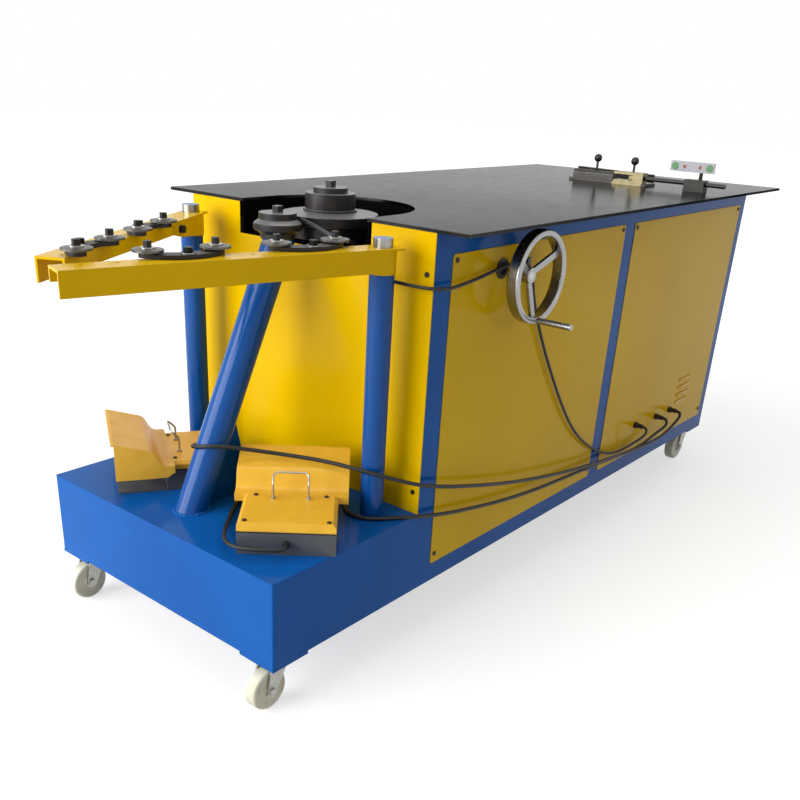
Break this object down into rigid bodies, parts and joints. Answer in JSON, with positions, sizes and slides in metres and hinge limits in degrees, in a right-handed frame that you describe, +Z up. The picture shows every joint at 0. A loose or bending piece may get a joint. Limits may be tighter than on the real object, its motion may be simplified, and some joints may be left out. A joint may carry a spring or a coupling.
{
  "type": "duct elbow machine",
  "caption": "Wheeled sheet-metal stand with a black table, a main and a small forming die, two swinging roller arms, a handwheel and foot switches for closing duct elbow seams.",
  "frame": {"origin": "on the floor, under the middle of the machine's box without its loose cables", "axes": "+X along the stand, away from the guide arms; -Y the long side with the handwheel; +Z up"},
  "size_m": [2.6748, 1.093, 1.126],
  "materials": {
    "blue_paint": "gloss enamel",
    "yellow_paint": "gloss enamel",
    "black_enamel": "gloss black, slightly worn",
    "black_oxide": "turned and blackened",
    "bright_steel": "machined",
    "cast_grey": "as cast",
    "grey_enamel": "satin",
    "chrome": "polished",
    "zinc": "zinc plated",
    "ivory_nylon": "moulded",
    "yellow_plastic": "moulded",
    "grey_plastic": "moulded",
    "black_plastic": "moulded",
    "black_rubber": "matt"
  },
  "bodies": {
    "stand": {"base_platform": "blue_paint", "main_frame": "blue_paint", "table_top": "black_enamel", "die_well": "black_enamel", "panel_front": "yellow_paint", "side_panels": "yellow_paint", "panel_rear": "yellow_paint", "arm_posts": "blue_paint", "die_column": "blue_paint", "panel_screws": "black_oxide", "caster_plates": "blue_paint", "carriage_ways": "bright_steel", "electric_box": "grey_enamel", "cable_glands": "black_plastic", "pedal_bases": "grey_plastic", "pedal_covers": "yellow_plastic", "pedal_handles": "zinc", "gauge_base": "zinc", "gauge_rod": "bright_steel", "handwheel_cable": "black_rubber", "near_pedal_cable": "black_rubber", "far_pedal_cable": "black_rubber"},
    "carriage": {"carriage": "cast_grey", "spindle_bearings": "bright_steel", "gear_motor": "grey_enamel"},
    "main_die": {"main_die": "black_oxide", "spindle": "bright_steel"},
    "small_die": {"small_die": "black_oxide"},
    "handwheel": {"handwheel": "chrome", "handwheel_shaft": "bright_steel"},
    "handwheel_grip": {"handwheel_grip": "chrome"},
    "lead_screw": {"lead_screw": "bright_steel"},
    "gauge_slide": {"gauge_slide": "bright_steel"},
    "clamp_lever_near": {"clamp_lever_near": "black_plastic"},
    "clamp_lever_far": {"clamp_lever_far": "black_plastic"},
    "treadle_near": {"treadle_near": "black_rubber"},
    "treadle_far": {"treadle_far": "black_rubber"},
    "arm_right": {"arm_right": "yellow_paint"},
    "rocker_right_rear": {"rocker_right_rear": "black_oxide"},
    "roller_right_rear_a": {"roller_right_rear_a": "black_oxide"},
    "roller_right_rear_b": {"roller_right_rear_b": "black_oxide"},
    "rocker_right_front": {"rocker_right_front": "black_oxide"},
    "roller_right_front_a": {"roller_right_front_a": "black_oxide"},
    "roller_right_front_b": {"roller_right_front_b": "black_oxide"},
    "arm_left": {"arm_left": "yellow_paint"},
    "rocker_left_rear": {"rocker_left_rear": "black_oxide"},
    "roller_left_rear_a": {"roller_left_rear_a": "black_oxide"},
    "roller_left_rear_b": {"roller_left_rear_b": "black_oxide"},
    "rocker_left_front": {"rocker_left_front": "black_oxide"},
    "roller_left_front_a": {"roller_left_front_a": "black_oxide"},
    "roller_left_front_b": {"roller_left_front_b": "black_oxide"},
    "caster_fork_front_near": {"caster_fork_front_near": "zinc"},
    "caster_wheel_front_near": {"caster_wheel_front_near": "ivory_nylon"},
    "caster_fork_front_far": {"caster_fork_front_far": "zinc"},
    "caster_wheel_front_far": {"caster_wheel_front_far": "ivory_nylon"},
    "caster_fork_rear_near": {"caster_fork_rear_near": "zinc"},
    "caster_wheel_rear_near": {"caster_wheel_rear_near": "ivory_nylon"},
    "caster_fork_rear_far": {"caster_fork_rear_far": "zinc"},
    "caster_wheel_rear_far": {"caster_wheel_rear_far": "ivory_nylon"}
  },
  "joints": [
    {"name": "handwheel_turn", "type": "hinge", "parent": "stand", "child": "handwheel", "pos_m": [-0.25061, -0.4345, 0.907], "axis": [0, -1, 0], "range_deg": [0, 2880]},
    {"name": "grip_spin", "type": "hinge", "parent": "handwheel", "child": "handwheel_grip", "pos_m": [-0.25061, -0.4945, 0.803], "axis": [0, -1, 0], "continuous": true},
    {"name": "lead_screw_turn", "type": "hinge", "parent": "stand", "child": "lead_screw", "pos_m": [-0.25061, 0.0455, 0.907], "axis": [1, 0, 0], "range_deg": [-2880, 0]},
    {"name": "carriage_slide", "type": "slide", "parent": "stand", "child": "carriage", "axis": [1, 0, 0], "range_m": [0, 0.04]},
    {"name": "main_die_spin", "type": "hinge", "parent": "carriage", "child": "main_die", "pos_m": [-0.47461, 0.0455, 1], "axis": [0, 0, 1], "continuous": true},
    {"name": "small_die_spin", "type": "hinge", "parent": "stand", "child": "small_die", "pos_m": [-0.65561, 0.0455, 1], "axis": [0, 0, 1], "continuous": true},
    {"name": "arm_right_swing", "type": "hinge", "parent": "stand", "child": "arm_right", "pos_m": [-0.65261, -0.2795, 0.96], "axis": [0, 0, 1], "range_deg": [0, 60]},
    {"name": "rocker_right_rear_swing", "type": "hinge", "parent": "arm_right", "child": "rocker_right_rear", "pos_m": [-0.81085, -0.2222, 0.999], "axis": [0, 0, 1], "range_deg": [-15, 15]},
    {"name": "roller_right_rear_a_spin", "type": "hinge", "parent": "rocker_right_rear", "child": "roller_right_rear_a", "pos_m": [-0.73522, -0.21331, 1.008], "axis": [0, 0, 1], "continuous": true},
    {"name": "roller_right_rear_b_spin", "type": "hinge", "parent": "rocker_right_rear", "child": "roller_right_rear_b", "pos_m": [-0.86945, -0.17355, 1.008], "axis": [0, 0, 1], "continuous": true},
    {"name": "rocker_right_front_swing", "type": "hinge", "parent": "arm_right", "child": "rocker_right_front", "pos_m": [-1.07549, -0.14381, 0.999], "axis": [0, 0, 1], "range_deg": [-15, 15]},
    {"name": "roller_right_front_a_spin", "type": "hinge", "parent": "rocker_right_front", "child": "roller_right_front_a", "pos_m": [-0.99985, -0.13492, 1.008], "axis": [0, 0, 1], "continuous": true},
    {"name": "roller_right_front_b_spin", "type": "hinge", "parent": "rocker_right_front", "child": "roller_right_front_b", "pos_m": [-1.13409, -0.09516, 1.008], "axis": [0, 0, 1], "continuous": true},
    {"name": "arm_left_swing", "type": "hinge", "parent": "stand", "child": "arm_left", "pos_m": [-0.65261, 0.3705, 0.96], "axis": [0, 0, 1], "range_deg": [-60, 0]},
    {"name": "rocker_left_rear_swing", "type": "hinge", "parent": "arm_left", "child": "rocker_left_rear", "pos_m": [-0.94473, 0.19237, 0.999], "axis": [0, 0, 1], "range_deg": [-15, 15]},
    {"name": "roller_left_rear_a_spin", "type": "hinge", "parent": "rocker_left_rear", "child": "roller_left_rear_a", "pos_m": [-0.86906, 0.20099, 1.008], "axis": [0, 0, 1], "continuous": true},
    {"name": "roller_left_rear_b_spin", "type": "hinge", "parent": "rocker_left_rear", "child": "roller_left_rear_b", "pos_m": [-0.99067, 0.13163, 1.008], "axis": [0, 0, 1], "continuous": true},
    {"name": "rocker_left_front_swing", "type": "hinge", "parent": "arm_left", "child": "rocker_left_front", "pos_m": [-1.18447, 0.05562, 0.999], "axis": [0, 0, 1], "range_deg": [-15, 15]},
    {"name": "roller_left_front_a_spin", "type": "hinge", "parent": "rocker_left_front", "child": "roller_left_front_a", "pos_m": [-1.10881, 0.06424, 1.008], "axis": [0, 0, 1], "continuous": true},
    {"name": "roller_left_front_b_spin", "type": "hinge", "parent": "rocker_left_front", "child": "roller_left_front_b", "pos_m": [-1.23041, -0.00512, 1.008], "axis": [0, 0, 1], "continuous": true},
    {"name": "caster_front_near_swivel", "type": "hinge", "parent": "stand", "child": "caster_fork_front_near", "pos_m": [-1.01261, -0.3095, 0.125], "axis": [0, 0, 1], "continuous": true},
    {"name": "caster_front_near_roll", "type": "hinge", "parent": "caster_fork_front_near", "child": "caster_wheel_front_near", "pos_m": [-1.04061, -0.3095, 0.05], "axis": [0, 1, 0], "continuous": true},
    {"name": "caster_front_far_swivel", "type": "hinge", "parent": "stand", "child": "caster_fork_front_far", "pos_m": [-1.01261, 0.4005, 0.125], "axis": [0, 0, 1], "continuous": true},
    {"name": "caster_front_far_roll", "type": "hinge", "parent": "caster_fork_front_far", "child": "caster_wheel_front_far", "pos_m": [-1.04061, 0.4005, 0.05], "axis": [0, 1, 0], "continuous": true},
    {"name": "caster_rear_near_swivel", "type": "hinge", "parent": "stand", "child": "caster_fork_rear_near", "pos_m": [1.22239, -0.3095, 0.125], "axis": [0, 0, 1], "continuous": true},
    {"name": "caster_rear_near_roll", "type": "hinge", "parent": "caster_fork_rear_near", "child": "caster_wheel_rear_near", "pos_m": [1.19439, -0.3095, 0.05], "axis": [0, 1, 0], "continuous": true},
    {"name": "caster_rear_far_swivel", "type": "hinge", "parent": "stand", "child": "caster_fork_rear_far", "pos_m": [1.22239, 0.4005, 0.125], "axis": [0, 0, 1], "continuous": true},
    {"name": "caster_rear_far_roll", "type": "hinge", "parent": "caster_fork_rear_far", "child": "caster_wheel_rear_far", "pos_m": [1.19439, 0.4005, 0.05], "axis": [0, 1, 0], "continuous": true},
    {"name": "treadle_near_press", "type": "hinge", "parent": "stand", "child": "treadle_near", "pos_m": [-0.80664, -0.16021, 0.389], "axis": [-0.6587, 0.7524, 0], "range_deg": [0, 10], "stiffness_Nm_per_rad": 6, "springref_deg": -14.32},
    {"name": "treadle_far_press", "type": "hinge", "parent": "stand", "child": "treadle_far", "pos_m": [-0.87515, 0.27745, 0.389], "axis": [-0.524, -0.8517, 0], "range_deg": [0, 10], "stiffness_Nm_per_rad": 6, "springref_deg": -14.32},
    {"name": "clamp_lever_far_swing", "type": "hinge", "parent": "stand", "child": "clamp_lever_far", "pos_m": [0.90139, 0.0445, 1.06], "axis": [1, 0, 0], "range_deg": [0, 50]},
    {"name": "clamp_lever_near_swing", "type": "hinge", "parent": "stand", "child": "clamp_lever_near", "pos_m": [0.90139, -0.0955, 1.06], "axis": [1, 0, 0], "range_deg": [0, 50]},
    {"name": "gauge_slide_along", "type": "slide", "parent": "stand", "child": "gauge_slide", "axis": [0, 1, 0], "range_m": [-0.06, 0.07]}
  ],
  "couplings": [
    {"joint": "lead_screw_turn", "follows": "handwheel_turn", "ratio": -1},
    {"joint": "carriage_slide", "follows": "handwheel_turn", "m_per_rad": 0.00079577}
  ]
}
